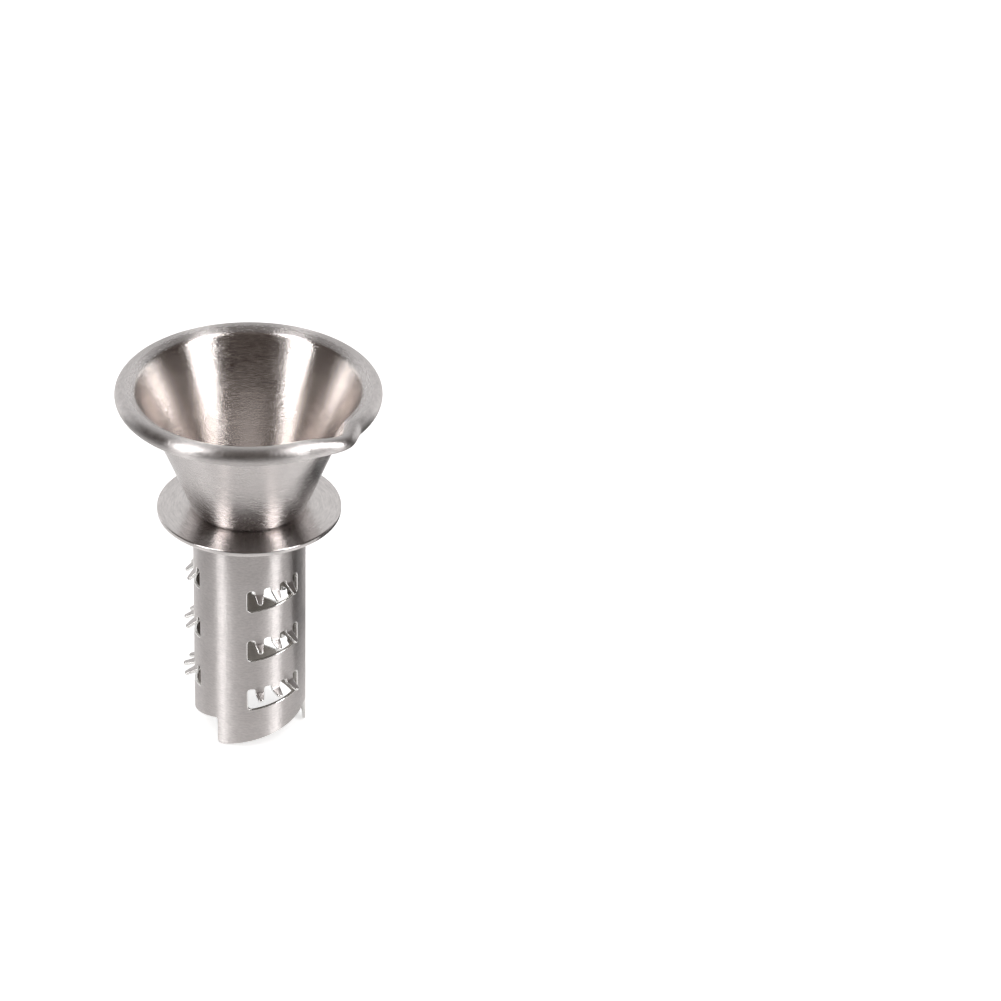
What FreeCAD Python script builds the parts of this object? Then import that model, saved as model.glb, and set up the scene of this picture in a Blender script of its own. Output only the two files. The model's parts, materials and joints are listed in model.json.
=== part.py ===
import FreeCAD, Part
import math
import os

import Sketcher
from FreeCAD import Placement, Rotation, Vector

# Citrus juice spout, in millimetres. The toothed tube is screwed down into a fruit, the disc stops
# it on the skin, and the juice climbs through the tube into the funnel and leaves over its lip.
# +Z points up, the origin is on the axis at the height of the tooth tips, and the front is -Y.

os.makedirs("parts", exist_ok=True)
doc = FreeCAD.newDocument("juice_spout")


# Sizes

SIZES = {
    # Stop disc: its top face is the level that the other pieces are measured from.
    "disc_level": 48.9,
    "disc_radius": 17.43,
    "disc_thickness": 1.0,
    "disc_edge_radius": 0.25,
    "throat_radius": 8.5,
    # Cutter tube, and the shallow seat under the disc that centres it.
    "tube_radius": 10.7,
    "tube_wall": 0.6,
    "seat_depth": 0.3,
    "seat_clearance": 0.03,
    # Three saw steps on the lower edge, each with a ramp of a third of a turn.
    "step_count": 3,
    "step_height": 6.0,
    "step_azimuth": 83.5,
    # Windows: three columns of three, each a leaning slot with a round-topped lobe at each side
    # of every finger. Drops are measured down from the disc level, at the window's left side.
    "window_columns": 3,
    "window_rows": 3,
    "window_pitch": 11.08,
    "window_azimuth": 27.5,
    "window_angle": 60.0,
    "window_drop": 13.1,
    "window_height": 4.65,
    "window_top_rise": 1.55,
    "window_bottom_rise": 1.95,
    "lobe_angle": 7.5,
    "root_drop": 0.95,
    # Fingers: bent outward from the window's upper edge, longer to the right. They lean out further
    # lower down, and those between the outer two lean out further still.
    "finger_count": 3,
    "finger_length": 2.05,
    "finger_length_gain": 0.25,
    "finger_tip_width": 0.9,
    "finger_tip_radius": 0.5,
    "finger_overlap": 0.15,
    "finger_bend": 35.0,
    "finger_bend_gain": 12.5,
    "inner_finger_bend": 12.0,
    # Funnel: sheet, floor, fold, cone, flare, land and the rim that is rolled outward and under.
    "sheet": 0.6,
    "floor_width": 0.6,
    "fold_radius": 2.5,
    "flare_level": 10.0,
    "flare_radius": 110.0,
    "rim_radius": 25.0,
    "rim_width": 3.8,
    "land_angle": 30.0,
    "bead_radius": 1.78,
    "rim_level": 24.29,
    "curl_angle": 58.0,
    # Pouring lip: a pinch in the rim, wider on its front side, that pushes the land and the bead
    # outward, makes the land steeper and rolls the bead tighter.
    "lip_azimuth": 44.5,
    "lip_front_angle": 16.0,
    "lip_side_angle": 10.5,
    "lip_land_push": 2.8,
    "lip_rim_push": 1.55,
    "lip_droop": 0.5,
    "lip_land_rise": 25.0,
    "lip_bead_squeeze": 0.5,
    # Weld beads.
    "throat_bead_height": 1.3,
    "throat_bead_depth": 0.35,
    "collar_width": 0.5,
    "collar_depth": 0.25,
}

FULL_TURN = 360


def cone_angle():
    """The cone's lean from upright, so that its flare, at its own radius, ends at the land."""
    inner_fold = SIZES["fold_radius"] - SIZES["sheet"]
    land_angle = math.radians(SIZES["land_angle"])
    bead = SIZES["bead_radius"]
    land_x = SIZES["rim_radius"] - SIZES["rim_width"]
    crest_x = SIZES["rim_radius"] - bead - bead * math.sin(land_angle)
    crest_y = SIZES["rim_level"] + bead * math.cos(land_angle)
    land_y = crest_y - (crest_x - land_x) * math.tan(land_angle)
    low, high = 0.0, math.radians(60)
    for _ in range(60):
        lean = (low + high) / 2
        fold_x = SIZES["throat_radius"] + SIZES["floor_width"] + inner_fold * math.cos(lean)
        fold_y = SIZES["fold_radius"] - inner_fold * math.sin(lean)
        flare_x = fold_x + (SIZES["flare_level"] - fold_y) * math.tan(lean)
        end = math.asin(min(1, (land_y - SIZES["flare_level"]) / SIZES["flare_radius"] + math.sin(lean)))
        reach = flare_x + SIZES["flare_radius"] * (math.cos(lean) - math.cos(end))
        low, high = (lean, high) if reach < land_x else (low, lean)
    return math.degrees(lean)


SIZES["cone_angle"] = round(cone_angle(), 6)

sheet = doc.addObject("Spreadsheet::Sheet", "sizes")
for row, (name, number) in enumerate(SIZES.items(), start=1):
    sheet.set(f"A{row}", name)
    sheet.set(f"B{row}", str(number))
    sheet.setAlias(f"B{row}", name)
doc.recompute()


def number_of(name):
    """A size as it stands in the sheet, for counts and for how a loop is laid out."""
    return float(sheet.get(name))


# Bodies and sketches

def new_body(label):
    body = doc.addObject("PartDesign::Body", label)
    body.Label = label
    body.Placement = Placement()
    return body


def origin_feature(body, role):
    return next(item for item in body.Origin.OriginFeatures if item.Role == role)


def plane_sketch(body, name, turn):
    """A sketch in a plane through the axis, turned about it; its y is the height."""
    sketch = body.newObject("Sketcher::SketchObject", name)
    sketch.AttachmentSupport = (origin_feature(body, "XZ_Plane"), [""])
    sketch.MapMode = "FlatFace"
    sketch.AttachmentOffset = Placement(Vector(), Rotation(Vector(0, 1, 0), 1))
    sketch.setExpression("AttachmentOffset.Rotation.Angle", turn)
    return sketch


def section_sketch(body, name, azimuth="0"):
    """A half-plane from the axis towards an azimuth: x is the radius. Azimuth 0 is the front,
    and it grows towards the right."""
    return plane_sketch(body, name, f"{azimuth} - 90")


def facing_sketch(body, name, azimuth):
    """A plane that faces outward at an azimuth: x runs across it, to the right."""
    return plane_sketch(body, name, azimuth)


def bind(sketch, constraint, expression):
    index = sketch.addConstraint(constraint)
    sketch.setExpression(f"Constraints[{index}]", expression)


def pin(sketch, edge, end, x, y):
    """Tie one end of an edge to a place given by two expressions."""
    for kind, expression in (("DistanceX", x), ("DistanceY", y)):
        here = float(sketch.evalExpression(expression))
        bind(sketch, Sketcher.Constraint(kind, -1, 1, edge, end, here), expression)


def arc_between(start, end, radius, side):
    """An arc of less than half a turn; side is +1 to bulge to the left of its way, -1 to the right."""
    chord = end - start
    left = Vector(-chord.y, chord.x, 0) / chord.Length
    to_centre = max(radius ** 2 - (chord.Length / 2) ** 2, 0) ** 0.5
    centre = (start + end) / 2 - left * (side * to_centre)
    first, last = (end, start) if side > 0 else (start, end)
    circle = Part.Circle(centre, Vector(0, 0, 1), radius)
    return Part.ArcOfCircle(circle, circle.parameter(first), circle.parameter(last))


def draw(sketch, corners):
    """A closed outline. Each corner is (x, y), or (x, y, radius, side) if an arc leaves it."""
    first = sketch.GeometryCount
    places = [Vector(*(float(sketch.evalExpression(term)) for term in corner[:2]), 0)
              for corner in corners]
    starts = [2 if len(corner) > 2 and corner[3] > 0 else 1 for corner in corners]
    edges = []
    for index, corner in enumerate(corners):
        start = places[index]
        end = places[(index + 1) % len(places)]
        if len(corner) == 2:
            edges.append(Part.LineSegment(start, end))
        else:
            radius = float(sketch.evalExpression(corner[2]))
            edges.append(arc_between(start, end, radius, corner[3]))
    sketch.addGeometry(edges, False)
    for index, corner in enumerate(corners):
        following = (index + 1) % len(corners)
        pin(sketch, first + index, starts[index], corner[0], corner[1])
        sketch.addConstraint(Sketcher.Constraint(
            "Coincident", first + index, 3 - starts[index], first + following, starts[following]))
        if len(corner) > 2:
            radius = Sketcher.Constraint("Radius", first + index, edges[index].Radius)
            bind(sketch, radius, corner[2])


def revolve(body, name, sketch, angle=str(FULL_TURN)):
    turned = body.newObject("PartDesign::Revolution", name)
    turned.Profile = sketch
    turned.ReferenceAxis = (sketch, ["V_Axis"])
    turned.Midplane = True
    turned.setExpression("Angle", angle)
    doc.recompute()
    return turned


# Funnel cup

def funnel_outline(push):
    """The funnel's sheet in section. Push is 0 on the plain rim and 1 in the middle of the lip."""
    level = "sizes.disc_level"
    wall = "sizes.sheet"
    cone = "sizes.cone_angle"
    fold_y = f"({level} + sizes.fold_radius)"
    inner_fold = f"(sizes.fold_radius - {wall})"
    floor_x = "(sizes.throat_radius + sizes.floor_width)"
    fold_inner_x = f"({floor_x} + {inner_fold} * cos({cone}))"
    fold_inner_y = f"({fold_y} - {inner_fold} * sin({cone}))"
    fold_outer_x = f"({floor_x} + sizes.fold_radius * cos({cone}))"
    fold_outer_y = f"({fold_y} - sizes.fold_radius * sin({cone}))"
    flare_y = f"({level} + sizes.flare_level)"
    flare_x = f"({fold_inner_x} + ({flare_y} - {fold_inner_y}) * tan({cone}))"
    bead = f"(sizes.bead_radius - sizes.lip_bead_squeeze * {push})"
    bead_x = f"(sizes.rim_radius - {bead} + sizes.lip_rim_push * {push})"
    bead_y = f"({level} + sizes.rim_level + sizes.bead_radius - {bead} - sizes.lip_droop * {push})"
    inner_bead = f"({bead} - {wall})"
    land_angle = f"(sizes.land_angle + sizes.lip_land_rise * {push})"
    land_x = f"(sizes.rim_radius - sizes.rim_width + sizes.lip_land_push * {push})"
    crest_x = f"({bead_x} - {bead} * sin({land_angle}))"
    crest_y = f"({bead_y} + {bead} * cos({land_angle}))"
    land_y = f"({crest_y} - ({crest_x} - {land_x}) * tan({land_angle}))"
    chord_angle = f"(atan(({land_x} - {flare_x}) / ({land_y} - {flare_y})) / 1 deg)"
    half_flare = f"({chord_angle} - {cone})"
    flare_radius = f"(({land_y} - {flare_y}) / cos({chord_angle}) / 2 / sin({half_flare}))"
    # The sheet's outer corner lies square to the bisector of the flare and the land.
    lean = f"((2 * {chord_angle} - {cone} + 90 - {land_angle}) / 2)"
    reach = f"({wall} / cos(90 - {land_angle} - {lean}))"
    return [
        ("sizes.throat_radius", f"{level} + {wall}"),
        (floor_x, f"{level} + {wall}", inner_fold, -1),
        (fold_inner_x, fold_inner_y),
        (flare_x, flare_y, flare_radius, 1),
        (land_x, land_y),
        (crest_x, crest_y, bead, 1),
        (f"{bead_x} + {bead}", bead_y, bead, 1),
        (f"{bead_x} + {bead} * cos(sizes.curl_angle)", f"{bead_y} - {bead} * sin(sizes.curl_angle)"),
        (f"{bead_x} + {inner_bead} * cos(sizes.curl_angle)",
         f"{bead_y} - {inner_bead} * sin(sizes.curl_angle)", inner_bead, -1),
        (f"{bead_x} + {inner_bead}", bead_y, inner_bead, -1),
        (f"{bead_x} - {inner_bead} * sin({land_angle})", f"{bead_y} + {inner_bead} * cos({land_angle})"),
        (f"{land_x} + {reach} * cos({lean})", f"{land_y} - {reach} * sin({lean})",
         f"{flare_radius} - {wall}", -1),
        (f"{flare_x} + {wall} * cos({cone})", f"{flare_y} - {wall} * sin({cone})"),
        (fold_outer_x, fold_outer_y, "sizes.fold_radius", 1),
        (floor_x, level),
        ("sizes.throat_radius", level),
    ]


# Where each section of the lip stands, from its front side's start over its middle to its other
# side's end, and how much of the pinch it has.
LIP_SECTIONS = [(-1.0, 0.0), (-0.5, 0.42), (0.0, 1.0), (0.5, 0.42), (1.0, 0.0)]


def funnel_cup():
    body = new_body("funnel_cup")
    lip_middle = "(sizes.lip_azimuth + sizes.lip_side_angle / 2 - sizes.lip_front_angle / 2)"
    plain = section_sketch(body, "plain_rim_section", f"{lip_middle} + {FULL_TURN} / 2")
    draw(plain, funnel_outline("0"))
    doc.recompute()
    lip_angle = "(sizes.lip_front_angle + sizes.lip_side_angle)"
    revolve(body, "plain_rim", plain, f"{FULL_TURN} - {lip_angle}")
    sections = []
    for index, (offset, push) in enumerate(LIP_SECTIONS):
        side = "sizes.lip_front_angle" if offset < 0 else "sizes.lip_side_angle"
        azimuth = f"(sizes.lip_azimuth + {offset} * {side})"
        section = section_sketch(body, f"lip_section_{index}", azimuth)
        draw(section, funnel_outline(str(push)))
        sections.append(section)
    doc.recompute()
    lip = body.newObject("PartDesign::AdditiveLoft", "pouring_lip")
    lip.Profile = sections[0]
    lip.Sections = sections[1:]
    doc.recompute()
    return body


# Stop disc

def stop_disc():
    body = new_body("stop_disc")
    section = section_sketch(body, "disc_section")
    bottom = "(sizes.disc_level - sizes.disc_thickness)"
    seat = "(sizes.tube_radius + sizes.seat_clearance)"
    edge = "sizes.disc_edge_radius"
    collar = "sizes.collar_depth"
    draw(section, [
        ("sizes.throat_radius", "sizes.disc_level"),
        (f"sizes.disc_radius - {edge}", "sizes.disc_level", edge, 1),
        ("sizes.disc_radius", f"sizes.disc_level - {edge}"),
        ("sizes.disc_radius", f"{bottom} + {edge}", edge, 1),
        (f"sizes.disc_radius - {edge}", bottom),
        (f"{seat} + sizes.collar_width", bottom),
        (seat, f"{bottom} + {collar}"),
        (seat, f"{bottom} + sizes.seat_depth"),
        ("sizes.throat_radius", f"{bottom} + sizes.seat_depth"),
    ])
    doc.recompute()
    revolve(body, "disc", section)
    return body


# Cutter tube

def window_place(angle, drop, rise):
    """A point of the window outline, by its angle from the left side."""
    x = f"sizes.tube_radius * sin({angle} - sizes.window_angle / 2)"
    y = f"sizes.disc_level - {drop} + {rise} * {angle} / sizes.window_angle"
    return x, y


def cutter_tube():
    body = new_body("cutter_tube")
    ring = section_sketch(body, "wall_section")
    top = "sizes.disc_level - sizes.disc_thickness + sizes.seat_depth"
    draw(ring, [
        ("sizes.tube_radius - sizes.tube_wall", "0"),
        ("sizes.tube_radius", "0"),
        ("sizes.tube_radius", top),
        ("sizes.tube_radius - sizes.tube_wall", top),
    ])
    doc.recompute()
    revolve(body, "wall", ring)

    windows = window_cuts(body)
    fingers = [finger(body, row, place)
               for row in range(int(number_of("window_rows")))
               for place in range(int(number_of("finger_count")))]
    around(body, "columns", windows + fingers, "sizes.window_columns")

    ramp_section = section_sketch(body, "ramp_section", "sizes.step_azimuth")
    draw(ramp_section, [
        ("sizes.tube_radius - 2 * sizes.tube_wall", "-sizes.step_height"),
        ("sizes.tube_radius + sizes.tube_wall", "-sizes.step_height"),
        ("sizes.tube_radius + sizes.tube_wall", "0"),
        ("sizes.tube_radius - 2 * sizes.tube_wall", "0"),
    ])
    doc.recompute()
    ramp = body.newObject("PartDesign::SubtractiveHelix", "ramp")
    ramp.Profile = ramp_section
    ramp.ReferenceAxis = (ramp_section, ["V_Axis"])
    ramp.Mode = "height-turns-angle"
    ramp.setExpression("Height", "sizes.step_height")
    ramp.setExpression("Turns", "1 / sizes.step_count")
    doc.recompute()
    around(body, "ramps", [ramp], "sizes.step_count")
    return body


def around(body, name, features, copies):
    pattern = body.newObject("PartDesign::PolarPattern", name)
    pattern.Originals = features
    pattern.Axis = (origin_feature(body, "Z_Axis"), [""])
    pattern.Angle = FULL_TURN
    pattern.setExpression("Occurrences", copies)
    pattern.Refine = False
    body.Tip = pattern
    doc.recompute()
    return pattern


def lobe_angle_of(lobe):
    """Where a lobe's left side lies, from the window's left side."""
    return f"({lobe} * (sizes.window_angle - sizes.lobe_angle) / sizes.finger_count)"


LOBE_RADIUS = "(sizes.tube_radius * sin(sizes.lobe_angle / 2))"


def window_cuts(body):
    """One column of windows: straight-sided slots, then the round tops of their lobes."""
    slots = facing_sketch(body, "slot_outline", "sizes.window_azimuth")
    rounds = facing_sketch(body, "lobe_tops", "sizes.window_azimuth")
    doc.recompute()
    lobes = int(number_of("finger_count")) + 1
    for row in range(int(number_of("window_rows"))):
        drop = f"(sizes.window_drop + {row} * sizes.window_pitch)"
        bottom = f"({drop} + sizes.window_height)"
        centre = f"({drop} + {LOBE_RADIUS})"
        root = f"({drop} + sizes.root_drop)"
        outline = [window_place("0", bottom, "sizes.window_bottom_rise")]
        for lobe in range(lobes):
            left = lobe_angle_of(lobe)
            right = f"({left} + sizes.lobe_angle)"
            middle = f"({left} + sizes.lobe_angle / 2)"
            if lobe > 0:
                outline.append(window_place(left, root, "sizes.window_top_rise"))
            outline.append(window_place(left, centre, "sizes.window_top_rise"))
            outline.append(window_place(right, centre, "sizes.window_top_rise"))
            if lobe < lobes - 1:
                outline.append(window_place(right, root, "sizes.window_top_rise"))
            place = window_place(middle, centre, "sizes.window_top_rise")
            add_round(rounds, place, LOBE_RADIUS)
        outline.append(window_place("sizes.window_angle", bottom, "sizes.window_bottom_rise"))
        draw(slots, outline)
    doc.recompute()
    return [cut_outward(body, "slots", slots), cut_outward(body, "lobes", rounds)]


def add_round(sketch, place, radius):
    x, y = (float(sketch.evalExpression(term)) for term in place)
    size = float(sketch.evalExpression(radius))
    index = sketch.addGeometry(Part.Circle(Vector(x, y, 0), Vector(0, 0, 1), size), False)
    pin(sketch, index, 3, *place)
    bind(sketch, Sketcher.Constraint("Radius", index, size), radius)


def cut_outward(body, name, sketch):
    """Cut from the axis outward, through one side of the wall."""
    cut = body.newObject("PartDesign::Pocket", name)
    cut.Profile = sketch
    cut.Reversed = True
    cut.Refine = False
    cut.setExpression("Length", "sizes.tube_radius + sizes.tube_wall")
    doc.recompute()
    return cut


def finger(body, row, place):
    """A finger hangs from the window's upper edge, between two lobes, and leans outward."""
    middle = f"({lobe_angle_of(place)} / 2 + {lobe_angle_of(place + 1)} / 2 + sizes.lobe_angle / 2)"
    bend = f"(sizes.finger_bend + {row} * sizes.finger_bend_gain)"
    if 0 < place < number_of("finger_count") - 1:
        bend = f"({bend} + sizes.inner_finger_bend)"
    mitre = f"(sizes.tube_wall * tan({bend} / 2))"
    drop = f"(sizes.window_drop + sizes.root_drop + {row} * sizes.window_pitch)"
    length = f"(sizes.finger_length + {place} * sizes.finger_length_gain)"
    plane = body.newObject("PartDesign::Plane", f"finger_plane_{row}_{place}")
    plane.AttachmentSupport = (origin_feature(body, "XZ_Plane"), [""])
    plane.MapMode = "FlatFace"
    plane.AttachmentOffset = Placement(Vector(), Rotation(Vector(0, 1, 0), 1))
    plane.setExpression("AttachmentOffset.Rotation.Angle",
                        f"sizes.window_azimuth + {middle} - sizes.window_angle / 2")
    rise = f"sizes.window_top_rise * {middle} / sizes.window_angle"
    plane.setExpression("AttachmentOffset.Base.y", f"sizes.disc_level - {drop} + {rise} + {mitre}")
    sketch = body.newObject("Sketcher::SketchObject", f"finger_outline_{row}_{place}")
    sketch.AttachmentSupport = (plane, [""])
    sketch.MapMode = "FlatFace"
    sketch.AttachmentOffset = Placement(Vector(), Rotation(Vector(-1, 0, 0), 1))
    sketch.setExpression("AttachmentOffset.Base.z", "sizes.tube_radius")
    sketch.setExpression("AttachmentOffset.Rotation.Angle", bend)
    doc.recompute()
    gap_angle = f"({lobe_angle_of(1)} - sizes.lobe_angle)"
    half_root = f"(sizes.tube_radius * sin({gap_angle} / 2))"
    half_tip = "(sizes.finger_tip_width / 2)"
    tip_rise = f"({length} - sizes.finger_tip_radius)"
    draw(sketch, [
        (f"-{half_root}", "sizes.finger_overlap"),
        (f"-{half_root}", "0"),
        (f"-{half_tip}", f"-{tip_rise}", "sizes.finger_tip_radius", -1),
        (half_tip, f"-{tip_rise}"),
        (half_root, "0"),
        (half_root, "sizes.finger_overlap"),
    ])
    doc.recompute()
    tab = body.newObject("PartDesign::Pad", f"finger_{row}_{place}")
    tab.Profile = sketch
    tab.Reversed = True
    tab.Refine = False
    tab.setExpression("Length", "sizes.tube_wall")
    doc.recompute()
    return tab


# Weld beads

def throat_weld():
    """The bead that joins the funnel's floor to the disc, round the throat."""
    body = new_body("throat_weld")
    section = section_sketch(body, "bead_section")
    seam = "sizes.disc_level"
    half = "(sizes.throat_bead_height / 2)"
    depth = "sizes.throat_bead_depth"
    radius = f"(({half} * {half} + {depth} * {depth}) / (2 * {depth}))"
    draw(section, [
        ("sizes.throat_radius", f"{seam} - {half}"),
        ("sizes.throat_radius", f"{seam} + {half}", radius, 1),
    ])
    doc.recompute()
    revolve(body, "bead", section)
    return body


def collar_weld():
    """The bead that joins the tube to the disc, ground flush with the disc's underside."""
    body = new_body("collar_weld")
    section = section_sketch(body, "collar_section")
    bottom = "(sizes.disc_level - sizes.disc_thickness)"
    seat = "(sizes.tube_radius + sizes.seat_clearance)"
    draw(section, [
        ("sizes.tube_radius", bottom),
        (f"{seat} + sizes.collar_width", bottom),
        (seat, f"{bottom} + sizes.collar_depth"),
        ("sizes.tube_radius", f"{bottom} + sizes.collar_depth"),
    ])
    doc.recompute()
    revolve(body, "collar", section)
    return body


# Assembly

pieces = [funnel_cup(), stop_disc(), cutter_tube(), throat_weld(), collar_weld()]
doc.recompute()

for item in doc.Objects:
    faults = {"Invalid", "Error"} & set(item.State)
    if faults:
        raise RuntimeError(f"{item.Label} is {', '.join(sorted(faults))}")

for piece in pieces:
    shape = piece.Shape
    if shape.isNull() or not shape.isValid():
        raise RuntimeError(f"{piece.Label} has no valid shape")
    print(piece.Label, "solids", len(shape.Solids), "volume", round(shape.Volume, 2))

for piece in pieces:
    piece.Shape.exportStep(f"parts/{piece.Label}.step")
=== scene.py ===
import json
import math

import bpy
import numpy as np
from mathutils import Matrix, Vector
from mathutils.geometry import delaunay_2d_cdt

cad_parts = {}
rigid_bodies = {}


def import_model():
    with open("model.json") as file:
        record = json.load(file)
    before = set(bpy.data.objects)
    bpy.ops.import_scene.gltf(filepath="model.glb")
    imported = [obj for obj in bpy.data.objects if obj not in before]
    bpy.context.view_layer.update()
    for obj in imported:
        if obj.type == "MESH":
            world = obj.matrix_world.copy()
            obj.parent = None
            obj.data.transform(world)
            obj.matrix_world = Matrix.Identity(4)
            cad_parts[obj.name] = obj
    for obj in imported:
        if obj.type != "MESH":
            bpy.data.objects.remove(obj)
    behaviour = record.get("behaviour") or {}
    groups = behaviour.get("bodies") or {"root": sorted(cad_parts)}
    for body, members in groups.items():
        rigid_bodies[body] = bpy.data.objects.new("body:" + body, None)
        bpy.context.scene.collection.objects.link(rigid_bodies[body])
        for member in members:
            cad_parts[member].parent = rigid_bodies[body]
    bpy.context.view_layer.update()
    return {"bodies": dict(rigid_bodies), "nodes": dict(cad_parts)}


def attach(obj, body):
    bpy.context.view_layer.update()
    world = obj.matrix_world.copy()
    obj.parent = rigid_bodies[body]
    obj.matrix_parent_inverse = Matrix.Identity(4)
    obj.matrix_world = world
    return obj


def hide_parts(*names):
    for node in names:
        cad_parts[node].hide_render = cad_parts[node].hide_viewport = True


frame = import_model()

# Lengths below are in millimetres, as the part's own sizes are, and MM turns them into metres.
# Azimuth 0 is the front of the part, -Y, and grows towards the right, +X.
MM = 0.001
ROOT = next(iter(frame["bodies"]))

# Sizes that more than one piece needs.
DISC_LEVEL = 48.9
DISC_THICKNESS = 1.0
THROAT_RADIUS = 8.5
TUBE_RADIUS = 10.7
SEAT_DEPTH = 0.3


# Meshes

def make_object(name, points, faces, normals=None, material=None, slot=None, replaces=None):
    """A mesh piece from points in millimetres."""
    mesh = bpy.data.meshes.new(name)
    mesh.from_pydata([tuple(value * MM for value in point) for point in points], [], faces)
    mesh.validate()
    mesh.update()
    mesh.shade_smooth()
    if normals is not None:
        mesh.normals_split_custom_set_from_vertices([tuple(normal) for normal in normals])
    piece = bpy.data.objects.new(name, mesh)
    bpy.context.scene.collection.objects.link(piece)
    if material:
        mesh.materials.append(material)
    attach(piece, ROOT)
    if replaces:
        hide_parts(replaces)
    return piece


def paint(piece, material, faces):
    """Gives some faces of a piece, by their numbers, a material of their own."""
    materials = piece.data.materials
    materials.append(material)
    for face in faces:
        piece.data.polygons[face].material_index = len(materials) - 1


def arc(centre, radius, first, last, count):
    """Points of an arc, by the angles of its ends in radians, both included."""
    return [(centre[0] + radius * math.cos(angle), centre[1] + radius * math.sin(angle))
            for angle in np.linspace(first, last, count)]


def line(start, end, count):
    """Points of a straight run without its two ends."""
    return [(start[0] + (end[0] - start[0]) * step, start[1] + (end[1] - start[1]) * step)
            for step in np.linspace(0, 1, count + 2)[1:-1]]


def curve(start, control, end, count):
    """Points of the curve that rounds the corner between two straight runs, without its ends."""
    return [tuple((1 - step) ** 2 * a + 2 * (1 - step) * step * b + step ** 2 * c
                  for a, b, c in zip(start, control, end))
            for step in np.linspace(0, 1, count + 2)[1:-1]]


def turned(name, section_at, azimuths, **options):
    """A closed section carried round the axis. section_at(azimuth) gives its (radius, height) points."""
    points = []
    for azimuth in azimuths:
        turn = math.radians(azimuth)
        points += [(radius * math.sin(turn), -radius * math.cos(turn), height)
                   for radius, height in section_at(azimuth)]
    size = len(points) // len(azimuths)
    faces = []
    for step in range(len(azimuths)):
        here = step * size
        there = (step + 1) % len(azimuths) * size
        for index in range(size):
            following = (index + 1) % size
            faces.append((here + index, here + following, there + following, there + index))
    return make_object(name, points, faces, **options)


# Degrees between the sections of a turned piece, and between those round the lip.
TURN_STEP = 1.25
LIP_STEP = 0.25


# Funnel cup

SHEET = 0.6
FLOOR_RADIUS = 9.1
FOLD_RADIUS = 2.5
CONE_ANGLE = math.radians(21.1)
FLARE_LEVEL = 10.0
LAND_RADIUS = 21.2
LAND_ANGLE = math.radians(30)
LAND_ROUND = 0.6
# The least land that the lip leaves, and the most of the land that its rounded corner takes.
LEAST_LAND = 0.2
LAND_ROUND_SHARE = 0.8
RIM_RADIUS = 25.0
RIM_LEVEL = 24.29
BEAD_RADIUS = 1.78
CURL_ANGLE = math.radians(58)
# The throat's upper corner is bevelled, and a ring beside the bevel keeps the floor's shading flat.
THROAT_BEVEL = 0.1
THROAT_SUPPORT = 0.3

# The pouring lip falls off over a wider angle in front of its middle than on its far side.
LIP_AZIMUTH = 44.5
LIP_FRONT_ANGLE = 20.0
LIP_FRONT_FOOT = 1.6
LIP_SIDE_ANGLE = 11.5
LIP_SIDE_FOOT = 1.2
LIP_LAND_PUSH = 2.9
LIP_RIM_PUSH = 1.6
LIP_DROOP = 0.5
LIP_BEAD_SQUEEZE = 0.4
# How round the pinch's tip is, and the turns over which it is averaged: on the land and on the rim.
LAND_PINCH = (0.08, (-0.8, 0, 0.8))
RIM_PINCH = (0.3, (-1.2, -0.6, 0, 0.6, 1.2))

FOLD_POINTS = 9
CONE_POINTS = 6
FLARE_POINTS = 11
CORNER_POINTS = 8
# The points of the section that lie in the bowl: from the throat to the middle of the land's corner.
BOWL_POINTS = 2 + FOLD_POINTS + CONE_POINTS + FLARE_POINTS + CORNER_POINTS // 2


def lip_share(away, rounding):
    """The lip's pinch at an angle from its middle: a ridge with a rounded tip and a soft foot."""
    share = abs(away) / (LIP_FRONT_ANGLE if away < 0 else LIP_SIDE_ANGLE)
    foot = math.hypot(1, rounding)
    ridge = max(0.0, foot - math.hypot(share, rounding)) / (foot - rounding)
    return ridge ** (LIP_FRONT_FOOT if away < 0 else LIP_SIDE_FOOT)


def lip_push(azimuth, rounding, shifts):
    """How far the lip is pushed out at an azimuth, as a share of the full push."""
    away = (azimuth - LIP_AZIMUTH + 180) % 360 - 180
    return float(np.mean([lip_share(away + shift, rounding) for shift in shifts]))


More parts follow.
